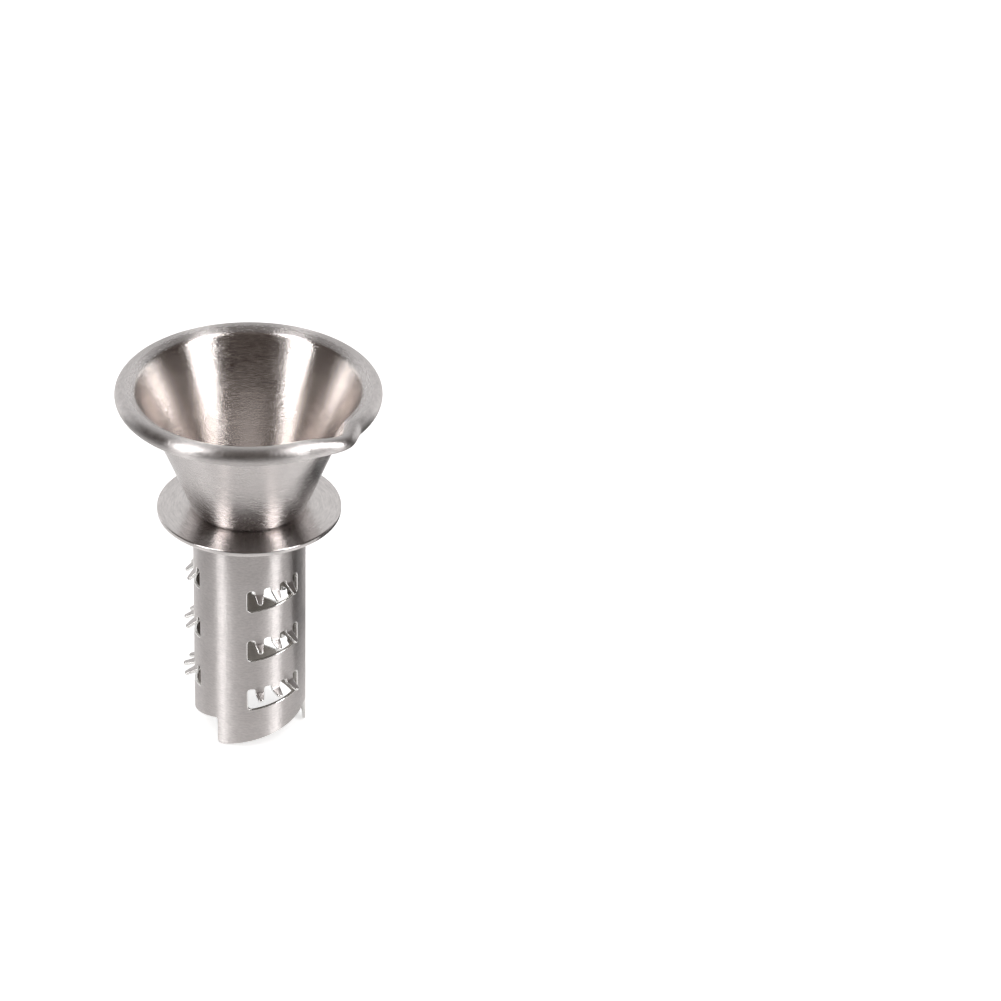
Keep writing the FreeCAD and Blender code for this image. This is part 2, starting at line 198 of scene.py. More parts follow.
def funnel_section(azimuth):
    """The funnel's sheet in section, from the throat up the inside, over the rim and back."""
    land_push = lip_push(azimuth, *LAND_PINCH)
    rim_push = lip_push(azimuth, *RIM_PINCH)
    cos, sin, tan = math.cos, math.sin, math.tan
    level = DISC_LEVEL
    fold = (FLOOR_RADIUS, level + FOLD_RADIUS)
    inner_fold = FOLD_RADIUS - SHEET
    fold_in = (fold[0] + inner_fold * cos(CONE_ANGLE), fold[1] - inner_fold * sin(CONE_ANGLE))
    fold_out = (fold[0] + FOLD_RADIUS * cos(CONE_ANGLE), fold[1] - FOLD_RADIUS * sin(CONE_ANGLE))
    flare_y = level + FLARE_LEVEL
    flare_in = (fold_in[0] + (flare_y - fold_in[1]) * tan(CONE_ANGLE), flare_y)
    bead_radius = BEAD_RADIUS - LIP_BEAD_SQUEEZE * land_push
    bead = (RIM_RADIUS - bead_radius + LIP_RIM_PUSH * rim_push,
            level + RIM_LEVEL + BEAD_RADIUS - bead_radius - LIP_DROOP * rim_push)
    crest = (bead[0] - bead_radius * sin(LAND_ANGLE), bead[1] + bead_radius * cos(LAND_ANGLE))
    land_x = min(LAND_RADIUS + LIP_LAND_PUSH * land_push, crest[0] - LEAST_LAND)
    land = (land_x, crest[1] - (crest[0] - land_x) * tan(LAND_ANGLE))

    # The flare is an arc that leaves the cone smoothly and ends at the land.
    chord_angle = math.atan2(land[0] - flare_in[0], land[1] - flare_in[1])
    flare_radius = (land[1] - flare_in[1]) / cos(chord_angle) / 2 / sin(chord_angle - CONE_ANGLE)
    centre = (flare_in[0] + flare_radius * cos(CONE_ANGLE), flare_in[1] - flare_radius * sin(CONE_ANGLE))
    wall_end = 2 * chord_angle - CONE_ANGLE
    start, end = math.pi - CONE_ANGLE, math.pi - wall_end

    # Inside, with the corner between the flare and the land rounded by cutting it back.
    corner_cut = min(LAND_ROUND, LAND_ROUND_SHARE * (crest[0] - land_x) / cos(LAND_ANGLE))
    flare_back = corner_cut / flare_radius
    inside = [(THROAT_RADIUS + beside, level + SHEET) for beside in (THROAT_BEVEL, THROAT_SUPPORT)]
    inside += arc(fold, inner_fold, -math.pi / 2, -CONE_ANGLE, FOLD_POINTS)
    inside += line(fold_in, flare_in, CONE_POINTS)
    inside += arc(centre, flare_radius, start, end + flare_back, FLARE_POINTS)
    corner_out = (land[0] + corner_cut * cos(LAND_ANGLE), land[1] + corner_cut * sin(LAND_ANGLE))
    inside += curve(inside[-1], land, corner_out, CORNER_POINTS)
    inside += [corner_out] + line(corner_out, crest, count=1)
    inside += arc(bead, bead_radius, math.pi / 2 + LAND_ANGLE, -CURL_ANGLE, count=27)

    # Round the sheet's edge under the rim, and outside back down to the throat.
    sheet_edge = (bead[0] + (bead_radius - SHEET / 2) * cos(CURL_ANGLE),
                  bead[1] - (bead_radius - SHEET / 2) * sin(CURL_ANGLE))
    outside = arc(sheet_edge, SHEET / 2, -CURL_ANGLE, -CURL_ANGLE - math.pi, count=9)[1:-1]
    outside += arc(bead, bead_radius - SHEET, -CURL_ANGLE, math.pi / 2 + LAND_ANGLE, count=17)
    lean = (wall_end + math.pi / 2 - LAND_ANGLE) / 2
    reach = SHEET / cos(math.pi / 2 - LAND_ANGLE - lean)
    outer_corner = (land[0] + reach * cos(lean), land[1] - reach * sin(lean))
    outside += line(outside[-1], outer_corner, count=2)
    outside += [outer_corner]
    outside += arc(centre, flare_radius - SHEET, end + 2 * flare_back, start, FLARE_POINTS)
    outside += line(outside[-1], fold_out, count=8)
    outside += arc(fold, FOLD_RADIUS, -CONE_ANGLE, -math.pi / 2, count=13)
    outside += [(THROAT_RADIUS, level), (THROAT_RADIUS, level + SHEET - THROAT_BEVEL)]
    return inside + outside


# Stop disc

DISC_RADIUS = 17.43
DISC_EDGE = 0.25
# The seat under the disc: its play round the tube, and the width and height of its mouth's bevel.
SEAT_PLAY = 0.03
SEAT_BEVEL = (0.5, 0.25)
# Rings this far from a corner keep the shading of the flats beside it flat.
FLAT_SUPPORT = 0.1


def disc_section(azimuth):
    """The disc in section, the same all round: over the top, round the edge and into the seat."""
    top = DISC_LEVEL
    bottom = DISC_LEVEL - DISC_THICKNESS
    rim = DISC_RADIUS - DISC_EDGE
    seat = TUBE_RADIUS + SEAT_PLAY
    bevel_width, bevel_height = SEAT_BEVEL
    section = [(THROAT_RADIUS, top)] + line((THROAT_RADIUS, top), (rim, top), count=6)
    section += [(rim - FLAT_SUPPORT, top)]
    section += arc((rim, top - DISC_EDGE), DISC_EDGE, math.pi / 2, 0, count=7)
    section += arc((rim, bottom + DISC_EDGE), DISC_EDGE, 0, -math.pi / 2, count=7)
    section += [(rim - FLAT_SUPPORT, bottom), (seat + bevel_width + FLAT_SUPPORT, bottom)]
    section += [(seat + bevel_width, bottom), (seat, bottom + bevel_height)]
    section += [(seat, bottom + SEAT_DEPTH), (THROAT_RADIUS, bottom + SEAT_DEPTH)]
    return section


# Cutter tube, cut and bent from an unrolled wall: u runs round it, v is the height.

TUBE_WALL = 0.6
TUBE_TOP = DISC_LEVEL - DISC_THICKNESS + SEAT_DEPTH
CUT_ROUND = 0.16
CUT_ROUND_POINTS = 5
# Where the unrolled wall starts and ends: an azimuth that meets no window and no saw step.
SEAM_AZIMUTH = -55.0

STEP_COUNT = 3
STEP_HEIGHT = 6.0
STEP_AZIMUTH = 83.5
STEP_CREST_RADIUS = 0.25
STEP_FOOT_RADIUS = 1.0

# The windows. Over a window's angle its top and bottom edges rise, each by its own amount.
WINDOW_COLUMNS = 3
WINDOW_ROWS = 3
WINDOW_PITCH = 11.08
WINDOW_LEFT = -2.5
WINDOW_ANGLE = 60.0
WINDOW_DROP = 13.1
WINDOW_HEIGHT = 4.65
WINDOW_TOP_RISE = 1.55
WINDOW_BOTTOM_RISE = 1.95
WINDOW_LEFT_RADIUS = 0.8
WINDOW_RIGHT_RADIUS = 0.45

# The fingers hang between the lobes of a window's top edge. Angles in degrees.
LOBE_ANGLE = 7.5
ROOT_DROP = 0.95
ROOT_RADIUS = 0.4
FINGER_COUNT = 3
FINGER_LENGTH = 1.95
FINGER_LENGTH_GAIN = 0.27
FINGER_TIP_WIDTH = 0.95
FINGER_TIP_RADIUS = 0.45
FINGER_BEND = 41.0
FINGER_BEND_GAIN = 14.0
INNER_FINGER_BEND = 6.0
BEND_RADIUS = 0.35
LOBE_SPACING = (WINDOW_ANGLE - LOBE_ANGLE) / FINGER_COUNT
# A point belongs to a finger up to these distances beyond its sides and its tip.
FINGER_MARGINS = (0.05, 0.12)

# How finely paths are drawn, and how long a straight part may get, in steps.
PATH_STEP = 0.12
LONGEST_PART = 2.5
# The most of a straight run that one rounded corner may take.
CORNER_SHARE = 0.499

# The points that fill the wall: columns, rows, and how far they keep from its edges.
WALL_COLUMNS = 180
WALL_ROWS = (0.6, TUBE_TOP - 0.3, 0.8)
SEAM_PARTS = 48
EDGE_GAP = 0.13
# On the fingers they lie closer: across, and down from just above the root.
FINGER_COLUMNS = np.arange(-0.8, 0.81, 0.2)
FINGER_ROW_START = 0.2
FINGER_ROW = 0.16
# Flat points closer than this are one, and so are points in space alike to this many digits.
JOIN_DISTANCE = 1e-7
WELD_DIGITS = 4


def unrolled(azimuth):
    """How far round the unrolled wall an azimuth lies."""
    return math.radians(azimuth) * TUBE_RADIUS


def fillet_path(corners, closed):
    """Corners (u, v, radius) joined by straight runs, with each corner rounded to its radius."""
    count = len(corners)
    path = []
    for index, (u, v, radius) in enumerate(corners):
        here = np.array((u, v))
        if not closed and index in (0, count - 1):
            path.append(here)
            continue
        before = np.array(corners[index - 1][:2]) - here
        after = np.array(corners[(index + 1) % count][:2]) - here
        reach_before, reach_after = np.linalg.norm(before), np.linalg.norm(after)
        before, after = before / reach_before, after / reach_after
        opening = math.acos(max(-1.0, min(1.0, float(before @ after))))
        room = CORNER_SHARE * min(reach_before, reach_after)
        setback = min(radius / math.tan(opening / 2), room)
        size = setback * math.tan(opening / 2)
        inward = (before + after) / np.linalg.norm(before + after)
        middle = here + inward * size / math.sin(opening / 2)
        first = here + before * setback - middle
        last = here + after * setback - middle
        sweep = math.pi - opening
        turn = math.copysign(1, first[0] * last[1] - first[1] * last[0])
        for part in np.linspace(0, sweep, max(3, int(size * sweep / PATH_STEP) + 2)):
            cos, sin = math.cos(turn * part), math.sin(turn * part)
            path.append(middle + np.array((cos * first[0] - sin * first[1],
                                           sin * first[0] + cos * first[1])))
    return densify(path, closed)


def densify(path, closed):
    """Adds points on the straight runs so that no part is much too long."""
    dense = []
    for index, here in enumerate(path):
        dense.append(here)
        if index == len(path) - 1 and not closed:
            break
        following = path[(index + 1) % len(path)]
        parts = int(np.linalg.norm(following - here) / (LONGEST_PART * PATH_STEP))
        for part in range(1, parts + 1):
            dense.append(here + (following - here) * part / (parts + 1))
    return np.array(dense)


def window_level(angle, drop, rise):
    """The height of a window's sloping edge at an angle from the window's left side."""
    return DISC_LEVEL - drop + rise * angle / WINDOW_ANGLE


class Finger:
    """One bent finger: where it is on the unrolled wall, and how it leans."""

    def __init__(self, column, row, place):
        left = place * LOBE_SPACING + LOBE_ANGLE
        right = (place + 1) * LOBE_SPACING
        middle = (left + right) / 2
        self.azimuth = math.radians(WINDOW_LEFT + column * 360 / WINDOW_COLUMNS + middle)
        self.u = self.azimuth * TUBE_RADIUS
        self.half_root = math.radians(right - left) * TUBE_RADIUS / 2
        drop = WINDOW_DROP + row * WINDOW_PITCH + ROOT_DROP
        bend = FINGER_BEND + row * FINGER_BEND_GAIN
        if 0 < place < FINGER_COUNT - 1:
            bend += INNER_FINGER_BEND
        self.bend = math.radians(bend)
        # The bend starts above the corner that its two straight sides would make.
        setback = BEND_RADIUS * math.tan(self.bend / 2)
        self.root = window_level(middle, drop, WINDOW_TOP_RISE) + setback
        self.length = BEND_RADIUS * self.bend - setback + FINGER_LENGTH + place * FINGER_LENGTH_GAIN

    def holds(self, u, v):
        beside, below = FINGER_MARGINS
        inside = abs(u - self.u) < self.half_root + beside
        return inside and self.root - self.length - below < v < self.root

    def surface(self, u, v):
        """Place, directions along u and v, and outward normal on the bent finger."""
        outward = np.array((math.sin(self.azimuth), -math.cos(self.azimuth), 0.0))
        sideways = np.array((math.cos(self.azimuth), math.sin(self.azimuth), 0.0))
        upward = np.array((0.0, 0.0, 1.0))
        down = self.root - v
        bend = min(down / BEND_RADIUS, self.bend)
        straight = max(0.0, down - BEND_RADIUS * self.bend)
        cos, sin = math.cos(bend), math.sin(bend)
        radius = TUBE_RADIUS + BEND_RADIUS * (1 - cos) + straight * sin
        height = self.root - BEND_RADIUS * sin - straight * cos
        normal = cos * outward + sin * upward
        along = cos * upward - sin * outward
        # The finger keeps the tube's curve across its width.
        turn = (u - self.u) / TUBE_RADIUS
        sag = TUBE_RADIUS * (1 - math.cos(turn))
        middle = radius * outward + height * upward
        place = middle + TUBE_RADIUS * math.sin(turn) * sideways - sag * normal
        across = math.cos(turn) * sideways - math.sin(turn) * normal
        face = math.cos(turn) * normal + math.sin(turn) * sideways
        return place, across, along, face


def wall_surface(u, v):
    """Place, directions along u and v, and outward normal on the round wall."""
    azimuth = u / TUBE_RADIUS
    face = np.array((math.sin(azimuth), -math.cos(azimuth), 0.0))
    across = np.array((math.cos(azimuth), math.sin(azimuth), 0.0))
    return TUBE_RADIUS * face + np.array((0.0, 0.0, v)), across, np.array((0.0, 0.0, 1.0)), face


def window_outline(column, row, fingers):
    """The window's edge, with its lobes and fingers, as a closed path on the unrolled wall."""
    start = WINDOW_LEFT + column * 360 / WINDOW_COLUMNS
    drop = WINDOW_DROP + row * WINDOW_PITCH
    bottom = drop + WINDOW_HEIGHT
    lobe_radius = unrolled(LOBE_ANGLE) / 2
    corners = [(unrolled(start), window_level(0, bottom, WINDOW_BOTTOM_RISE), WINDOW_LEFT_RADIUS)]
    for lobe in range(FINGER_COUNT + 1):
        left = lobe * LOBE_SPACING
        right = left + LOBE_ANGLE
        top = window_level((left + right) / 2, drop, WINDOW_TOP_RISE)
        if lobe > 0:
            corners.append((unrolled(start + left), fingers[lobe - 1].root, ROOT_RADIUS))
        corners.append((unrolled(start + left), top, lobe_radius))
        corners.append((unrolled(start + right), top, lobe_radius))
        if lobe < FINGER_COUNT:
            finger = fingers[lobe]
            tip = finger.root - finger.length
            corners.append((unrolled(start + right), finger.root, ROOT_RADIUS))
            corners.append((finger.u - FINGER_TIP_WIDTH / 2, tip, FINGER_TIP_RADIUS))
            corners.append((finger.u + FINGER_TIP_WIDTH / 2, tip, FINGER_TIP_RADIUS))
    right_bottom = window_level(WINDOW_ANGLE, bottom, WINDOW_BOTTOM_RISE)
    corners.append((unrolled(start + WINDOW_ANGLE), right_bottom, WINDOW_RIGHT_RADIUS))
    return fillet_path(corners, closed=True)


def lower_edge():
    """The saw steps, as an open path on the unrolled wall from the seam round to the seam."""
    third = 360 / STEP_COUNT
    first = STEP_AZIMUTH - third
    slope = STEP_HEIGHT / third
    seam_height = slope * (SEAM_AZIMUTH - (first - third))
    corners = [(unrolled(SEAM_AZIMUTH), seam_height, 0)]
    for step in range(STEP_COUNT):
        u = unrolled(first + step * third)
        corners.append((u, STEP_HEIGHT, STEP_CREST_RADIUS))
        corners.append((u, 0, STEP_FOOT_RADIUS))
    corners.append((unrolled(SEAM_AZIMUTH + 360), seam_height, 0))
    return fillet_path(corners, closed=False)


def inside_path(points, path):
    """Which points lie inside a closed path."""
    x, y = points[:, 0], points[:, 1]
    result = np.zeros(len(points), bool)
    for start, end in zip(path, np.roll(path, -1, axis=0)):
        crosses = (start[1] > y) != (end[1] > y)
        if not crosses.any():
            continue
        at = start[0] + (y - start[1]) / (end[1] - start[1]) * (end[0] - start[0])
        result ^= crosses & (x < at)
    return result


def on_wall(points, holes, saw):
    """Which points lie on the wall: above the saw steps and in no hole."""
    far_below = -10.0
    under = np.concatenate([saw, [(saw[-1][0], far_below), (saw[0][0], far_below)]])
    result = ~inside_path(points, under)
    for hole in holes:
        result &= ~inside_path(points, hole)
    return result


def clear_of(points, others, gap):
    """Which points are more than a gap away from all the others."""
    result = np.ones(len(points), bool)
    block = 500
    for start in range(0, len(points), block):
        some = points[start:start + block]
        distance = np.linalg.norm(some[:, None, :] - others[None, :, :], axis=2)
        result[start:start + block] = distance.min(axis=1) > gap
    return result


def open_side(path, closed):
    """Unit directions across a path, to the right of its way, where the material ends."""
    if closed:
        along = np.roll(path, -1, axis=0) - np.roll(path, 1, axis=0)
    else:
        along = np.gradient(path, axis=0)
    along /= np.linalg.norm(along, axis=1)[:, None]
    return np.stack([along[:, 1], -along[:, 0]], axis=1)


def edge_rings():
    """The rounded cut edge: how far each of its rings stands back from the cut, how deep it lies,
    and how far its face has turned towards the inside."""
    outer = []
    for turn in np.linspace(0, 90, CUT_ROUND_POINTS):
        sin, cos = math.sin(math.radians(turn)), math.cos(math.radians(turn))
        outer.append((CUT_ROUND * (1 - sin), CUT_ROUND * (1 - cos), turn))
    inner = [(back, TUBE_WALL - depth, 180 - turn) for back, depth, turn in reversed(outer)]
    return outer + inner


def wall_columns():
    """The columns of points between the two sides of the seam."""
    return np.linspace(unrolled(SEAM_AZIMUTH), unrolled(SEAM_AZIMUTH + 360), WALL_COLUMNS + 1)[1:-1]


def wall_border(cuts):
    """The flat points along the wall's edges: its cuts, both sides of the seam, and the top.

    Returned with the pairs that stay joined, the points of each cut and those of the top."""
    flat, edges, spans = [], [], []
    for path, closed in cuts:
        first = len(flat)
        flat += [tuple(point) for point in path]
        spans.append(range(first, len(flat)))
        edges += [(index, index + 1) for index in range(first, len(flat) - 1)]
        if closed:
            edges.append((len(flat) - 1, first))
    saw, _ = cuts[-1]
    seam = np.linspace(saw[0, 1], TUBE_TOP, SEAM_PARTS + 1)[1:]
    upper_ends = []
    for lower_end in (spans[-1][-1], spans[-1][0]):
        chain = [lower_end] + list(range(len(flat), len(flat) + len(seam)))
        flat += [(flat[lower_end][0], v) for v in seam]
        edges += zip(chain[:-1], chain[1:])
        upper_ends.append(chain[-1])
    across = wall_columns()
    right_end, left_end = upper_ends
    top = [left_end] + list(range(len(flat), len(flat) + len(across))) + [right_end]
    flat += [(u, TUBE_TOP) for u in across]
    edges += zip(top[:-1], top[1:])
    return flat, edges, spans, top


def wall_filling(fingers, holes, saw, borders):
    """The flat points between the wall's edges."""
    grid = [(u, v) for u in wall_columns() for v in np.arange(*WALL_ROWS)]
    for finger in fingers:
        rows = np.arange(FINGER_ROW_START, -finger.length, -FINGER_ROW)
        grid += [(finger.u + u, finger.root + v) for u in FINGER_COLUMNS for v in rows]
    grid = np.array(grid)
    grid = grid[clear_of(grid, borders, EDGE_GAP)]
    return [tuple(point) for point in grid[on_wall(grid, holes, saw)]]


def wall_triangles(flat, edges, holes, saw):
    """The flat points joined into triangles, without those that lie in the open."""
    points, _, triangles, origins, _, _ = delaunay_2d_cdt(
        [Vector(point) for point in flat], edges, [], 0, JOIN_DISTANCE)
    source = [origin[0] for origin in origins]
    middles = np.array([np.mean([points[index] for index in triangle], axis=0)
                        for triangle in triangles])
    return [tuple(source[index] for index in triangle)
            for triangle, kept in zip(triangles, on_wall(middles, holes, saw)) if kept]


def cut_rings(path, sides, surface, places, normals):
    """Adds the points of a rounded cut edge, and returns them ring by ring."""
    rings = []
    for back, depth, turn in edge_rings()[1:-1]:
        cos, sin = math.cos(math.radians(turn)), math.sin(math.radians(turn))
        ring = []
        for (u, v), (side_u, side_v) in zip(path, sides):
            place, along_u, along_v, face = surface(u - side_u * back, v - side_v * back)
            outward = side_u * along_u + side_v * along_v
            outward /= np.linalg.norm(outward)
            ring.append(len(places))
            places.append(place - face * depth)
            normals.append(cos * face + sin * outward)
        rings.append(ring)
    return rings


def welded(places, normals, faces):
    """Joins points that coincide, as they do along the seam."""
    first = {}
    joined = []
    kept_places, kept_normals = [], []
    for place, normal in zip(places, normals):
        key = tuple(np.round(place, WELD_DIGITS) + 0.0)
        if key not in first:
            first[key] = len(kept_places)
            kept_places.append(place)
            kept_normals.append(normal)
        joined.append(first[key])
    return kept_places, kept_normals, [tuple(joined[index] for index in face) for face in faces]


def cutter_tube(material):
    """The tube, and how many of its faces come before those of its cut edges: the outer half of
    them first, then as many inner ones."""
    fingers = []
    holes = []
    for column in range(WINDOW_COLUMNS):
        for row in range(WINDOW_ROWS):
            group = [Finger(column, row, place) for place in range(FINGER_COUNT)]
            fingers += group
            holes.append(window_outline(column, row, group))
    saw = lower_edge()

    def surface(u, v):
        finger = next((one for one in fingers if one.holds(u, v)), None)
        return finger.surface(u, v) if finger else wall_surface(u, v)

    # The wall's faces end a little before each cut, where its rounded edge begins.
    paths = [(hole, True) for hole in holes] + [(saw, False)]
    sides = [open_side(path, closed) for path, closed in paths]
    set_back = [path - side * CUT_ROUND for (path, _), side in zip(paths, sides)]
    set_back[-1][0, 0], set_back[-1][-1, 0] = unrolled(SEAM_AZIMUTH), unrolled(SEAM_AZIMUTH + 360)
    cuts = [(path, closed) for path, (_, closed) in zip(set_back, paths)]
    flat, edges, spans, top = wall_border(cuts)
    flat += wall_filling(fingers, holes, saw, np.concatenate(set_back))
    triangles = wall_triangles(flat, edges, set_back[:-1], set_back[-1])

    count = len(flat)
    outside = [surface(u, v) for u, v in flat]
    places = [place for place, _, _, _ in outside]
    places += [place - face * TUBE_WALL for place, _, _, face in outside]
    normals = [face for _, _, _, face in outside] + [-face for _, _, _, face in outside]
    faces = list(triangles)
    faces += [tuple(count + index for index in reversed(triangle)) for triangle in triangles]
    wall_faces = len(faces)

    for (path, closed), side, span in zip(paths, sides, spans):
        rings = [list(span)] + cut_rings(path, side, surface, places, normals)
        rings.append([count + index for index in span])
        for outer, inner in zip(rings[:-1], rings[1:]):
            size = len(outer)
            for index in range(size if closed else size - 1):
                following = (index + 1) % size
                faces.append((outer[following], outer[index], inner[index], inner[following]))
    for first, last in zip(top[:-1], top[1:]):
        faces.append((first, last, count + last, count + first))

    places, normals, faces = welded(places, normals, faces)
    piece = make_object("cutter_tube_cut_and_bent", places, faces, normals, material,
                        slot="tube_steel", replaces="cutter_tube")
    return piece, wall_faces


# Node trees

class Nodes:
    """A short way to build the node tree of a material or a world."""

    def __init__(self, owner):
        owner.use_nodes = True
        self.tree = owner.node_tree

    def add(self, kind, **settings):
        node = self.tree.nodes.new(kind)
        for name, value in settings.items():
            setattr(node, name, value)
        return node

    def feed(self, socket, value):
        if isinstance(value, bpy.types.NodeSocket):
            self.tree.links.new(value, socket)
        else:
            socket.default_value = value

    def math(self, operation, first, second=0.0):
        node = self.add("ShaderNodeMath", operation=operation)
        self.feed(node.inputs[0], first)
        self.feed(node.inputs[1], second)
        return node.outputs[0]

    def vector(self, x, y, z):
        node = self.add("ShaderNodeCombineXYZ")
        for socket, value in zip(node.inputs, (x, y, z)):
            self.feed(socket, value)
        return node.outputs[0]

    def noise(self, vector, scale=1.0, detail=2.0, roughness=0.5):
        node = self.add("ShaderNodeTexNoise")
        self.feed(node.inputs["Vector"], vector)
        node.inputs["Scale"].default_value = scale
        node.inputs["Detail"].default_value = detail
        node.inputs["Roughness"].default_value = roughness
        return node.outputs["Fac"]

    def spread(self, value, low, high, from_low=0.3, from_high=0.7, **settings):
        """The value carried from one range to another. Noise mostly lies between 0.3 and 0.7."""
        node = self.add("ShaderNodeMapRange", **settings)
        for socket, number in zip(node.inputs, (value, from_low, from_high, low, high)):
            self.feed(socket, number)
        return node.outputs["Result"]


class MaterialNodes(Nodes):
    """The node tree of a new material."""

    def __init__(self, name):
        self.material = bpy.data.materials.new(name)
        super().__init__(self.material)
        self.shader = self.tree.nodes["Principled BSDF"]

    def place(self):
        """Where a point lies on the piece, in metres."""
        return self.add("ShaderNodeTexCoord").outputs["Object"]

    def radius(self):
        """How far a point is from the part's axis, in metres."""
        split = self.add("ShaderNodeSeparateXYZ")
        self.feed(split.inputs[0], self.place())
        x, y, _ = split.outputs
        return self.math("SQRT", self.math("ADD", self.math("MULTIPLY", x, x), self.math("MULTIPLY", y, y)))

    def round_grain(self, run, rise, offset=0.0):
        """Coordinates, from millimetres, that change by run round the axis and by rise up and out."""
        split = self.add("ShaderNodeSeparateXYZ")
        self.feed(split.inputs[0], self.place())
        x, y, z = split.outputs
        slant = self.math("MULTIPLY", self.math("ADD", self.radius(), z), rise / MM)
        return self.vector(self.math("MULTIPLY", x, run / MM), self.math("MULTIPLY", y, run / MM),
                           self.math("ADD", slant, offset))

    def shade(self, colour, scale):
        """Makes the shader a metal of this colour times a varying scale."""
        tint = self.add("ShaderNodeVectorMath", operation="SCALE")
        tint.inputs[0].default_value = colour
        self.feed(tint.inputs["Scale"], scale)
        self.feed(self.shader.inputs["Base Color"], tint.outputs[0])
        self.shader.inputs["Metallic"].default_value = 1.0


# Materials

# Patterns in the steel: how fast they change round the axis and across, and an offset that keeps
# them apart. Those of the bundles are shares of the grain's own.
BUNDLES = (0.4, 0.25, 40.0)
CLOUD = (0.12, 0.16, 90.0)
SPECKLE = (2.2, 3.5, 20.0)
# How much the patterns change the steel's tone and roughness, and how high they stand.
LINE_TONE = 0.13
BUNDLE_TONE = 0.03
LINE_ROUGHNESS = (-0.04, 0.05)
CLOUD_ROUGHNESS = (-0.02, 0.03)
BUNDLE_DEPTH = 0.6
SPECKLE_DEPTH = 10.0
# A quarter turn lays the streaks of light across the grain.
GRAIN_TURN = 0.25
# The unevenness of a cut edge: how many spots per metre, its tone and its roughness.
MOTTLE = 900.0
MOTTLE_TONE = (0.95, 1.05)
MOTTLE_ROUGHNESS = (-0.03, 0.05)


def turned_steel(name, colour, roughness, grain, grain_run, grain_depth=0.004, anisotropy=1.0,
                 patches=0.03, satin=None):
    """Steel with a grain that runs round the axis.

    The grain is the number of lines per millimetre, and its run their length in millimetres. Satin
    is how much rougher the steel gets between two radii in millimetres: (more, inner, outer)."""
    nodes = MaterialNodes(name)
    run, rise, offset = BUNDLES
    lines = nodes.noise(nodes.round_grain(1 / grain_run, grain), detail=3.0, roughness=0.6)
    bundles = nodes.noise(nodes.round_grain(run / grain_run, grain * rise, offset))
    cloud = nodes.noise(nodes.round_grain(*CLOUD), detail=3.0)
    speckle = nodes.noise(nodes.round_grain(*SPECKLE), roughness=0.6)
    tone = nodes.math("ADD", nodes.spread(lines, -LINE_TONE, LINE_TONE),
                      nodes.math("ADD", nodes.spread(bundles, -BUNDLE_TONE, BUNDLE_TONE),
                                 nodes.spread(cloud, -patches, patches)))
    nodes.shade(colour, nodes.math("ADD", 1.0, tone))
    rough = nodes.math("ADD", nodes.spread(lines, *(roughness + change for change in LINE_ROUGHNESS)),
                       nodes.spread(cloud, *CLOUD_ROUGHNESS))
    if satin:
        more, inner, outer = satin
        rough = nodes.math("ADD", rough, nodes.spread(nodes.radius(), 0.0, more, inner * MM, outer * MM))
    nodes.feed(nodes.shader.inputs["Roughness"], rough)
    nodes.shader.inputs["Anisotropic"].default_value = anisotropy
    nodes.shader.inputs["Anisotropic Rotation"].default_value = GRAIN_TURN
    tangent = nodes.add("ShaderNodeTangent", direction_type="RADIAL", axis="Z")
    nodes.feed(nodes.shader.inputs["Tangent"], tangent.outputs[0])
    height = nodes.math("ADD", nodes.math("ADD", lines, nodes.math("MULTIPLY", bundles, BUNDLE_DEPTH)),
                        nodes.math("MULTIPLY", speckle, SPECKLE_DEPTH))
    relief = nodes.add("ShaderNodeBump")
    relief.inputs["Strength"].default_value = 1.0
    relief.inputs["Distance"].default_value = grain_depth * MM
    nodes.feed(relief.inputs["Height"], height)
    nodes.feed(nodes.shader.inputs["Normal"], relief.outputs[0])
    return nodes.material


def polished_edge_painted_highlight(name, colour, roughness):
    """Cut or rolled steel edge, with slight unevenness. The lighter colour it is given is a painted
    highlight.
    """
    nodes = MaterialNodes(name)
    mottle = nodes.noise(nodes.place(), MOTTLE, detail=3.0)
    nodes.shade(colour, nodes.spread(mottle, *MOTTLE_TONE))
    rough = nodes.spread(mottle, *(roughness + change for change in MOTTLE_ROUGHNESS))
    nodes.feed(nodes.shader.inputs["Roughness"], rough)
    return nodes.material


# Camera

CAMERA_ELEVATION = math.radians(31.5)
CAMERA_DISTANCE = 900.0
CAMERA_ROLL = math.radians(0.3)
SENSOR = 36.0
FRAME_PIXELS = 1001
FOCAL_PIXELS = 4755.0
TARGET_PIXEL = (249.2, 503.8)


def camera():
    """The photograph's camera: the middle of the disc's top lands on the target pixel."""
    data = bpy.data.cameras.new("camera")
    data.sensor_width = SENSOR
    data.sensor_fit = "HORIZONTAL"
    data.lens = FOCAL_PIXELS / FRAME_PIXELS * SENSOR
    data.clip_start = 0.01
    data.clip_end = 50.0
    eye = bpy.data.objects.new("camera", data)
    bpy.context.scene.collection.objects.link(eye)
    target = Vector((0, 0, DISC_LEVEL)) * MM
    forward = Vector((0, math.cos(CAMERA_ELEVATION), -math.sin(CAMERA_ELEVATION)))
    place = target - forward * CAMERA_DISTANCE * MM
    # The view is swung from the target by the angles of its pixel's offset from the middle.
    right = (TARGET_PIXEL[0] - FRAME_PIXELS / 2) / FOCAL_PIXELS
    down = (TARGET_PIXEL[1] - FRAME_PIXELS / 2) / FOCAL_PIXELS
    level = Matrix.Rotation(math.pi / 2 - CAMERA_ELEVATION, 4, "X")
    roll = Matrix.Rotation(-CAMERA_ROLL, 4, "Z")
    local = Vector((right, -down, -1)).normalized()
    swing = local.rotation_difference(Vector((0, 0, -1))).to_matrix().to_4x4()
    eye.matrix_world = Matrix.Translation(place) @ level @ roll @ swing
    bpy.context.scene.camera = eye


# Studio, in metres and degrees

